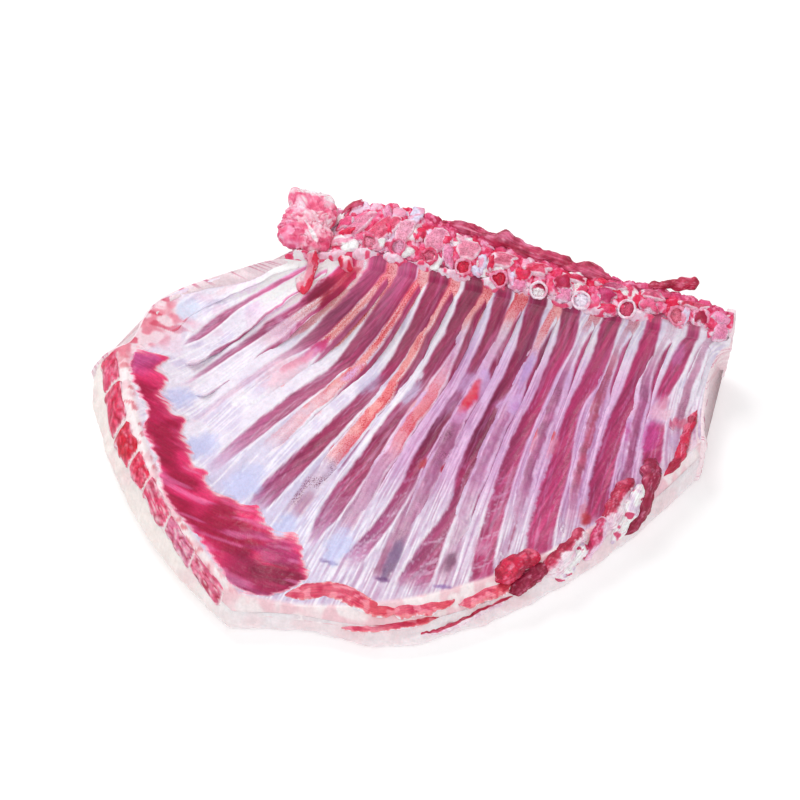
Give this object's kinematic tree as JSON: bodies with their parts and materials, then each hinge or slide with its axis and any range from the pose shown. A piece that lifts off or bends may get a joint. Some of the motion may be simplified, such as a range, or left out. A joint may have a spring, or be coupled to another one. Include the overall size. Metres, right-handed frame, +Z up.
{
  "type": "raw rack of lamb",
  "caption": "Raw half rib cage of lamb lying inner side up: curved ribs in red muscle between a sawn backbone, a sawn breastbone and a cut flank, on a white fat cover.",
  "frame": {"origin": "middle of the underside, on the surface that the meat lies on", "axes": "+X along the backbone from the neck end to the loin end, +Y from the cut flank towards the backbone, +Z up, out of the inner side of the ribs"},
  "size_m": [0.4516, 0.344, 0.0888],
  "materials": {
    "flesh": "wet red muscle with pale membrane",
    "fat": "moist pinkish white fat",
    "rib": "moist bone under thin membrane",
    "sawn_bone": "wet spongy cut bone with a pale rim",
    "red_meat": "wet fibrous meat",
    "neck_meat": "moist pink meat with fat"
  },
  "bodies": {
    "root": {"flesh": "flesh", "fat_cover": "fat", "rib_01": "rib", "rib_02": "rib", "rib_03": "rib", "rib_04": "rib", "rib_05": "rib", "rib_06": "rib", "rib_07": "rib", "rib_08": "rib", "rib_09": "rib", "rib_10": "rib", "rib_11": "rib", "rib_12": "rib", "rib_13": "rib", "rib_head_04": "sawn_bone", "rib_head_05": "sawn_bone", "rib_head_06": "sawn_bone", "rib_head_07": "sawn_bone", "rib_head_08": "sawn_bone", "rib_head_09": "sawn_bone", "rib_head_10": "sawn_bone", "rib_head_11": "sawn_bone", "rib_head_12": "sawn_bone", "vertebra_02": "sawn_bone", "vertebra_03": "sawn_bone", "vertebra_04": "sawn_bone", "vertebra_05": "sawn_bone", "vertebra_06": "sawn_bone", "vertebra_07": "sawn_bone", "vertebra_08": "sawn_bone", "vertebra_09": "sawn_bone", "vertebra_10": "sawn_bone", "vertebra_11": "sawn_bone", "vertebra_12": "sawn_bone", "sternebra_1": "sawn_bone", "sternebra_2": "sawn_bone", "sternebra_3": "sawn_bone", "sternebra_4": "sawn_bone", "sternebra_5": "sawn_bone", "sternebra_6": "sawn_bone", "sternebra_7": "sawn_bone", "breast_muscle": "red_meat", "loin_muscle": "red_meat", "flank_muscle_1": "red_meat", "flank_muscle_2": "red_meat", "flank_layer": "red_meat", "skirt_1": "red_meat", "skirt_2": "red_meat", "skirt_3": "red_meat", "skirt_4": "red_meat", "neck_flap": "neck_meat", "neck_strip": "neck_meat", "neck_nub": "neck_meat", "hind_strand": "red_meat"}
  },
  "joints": []
}
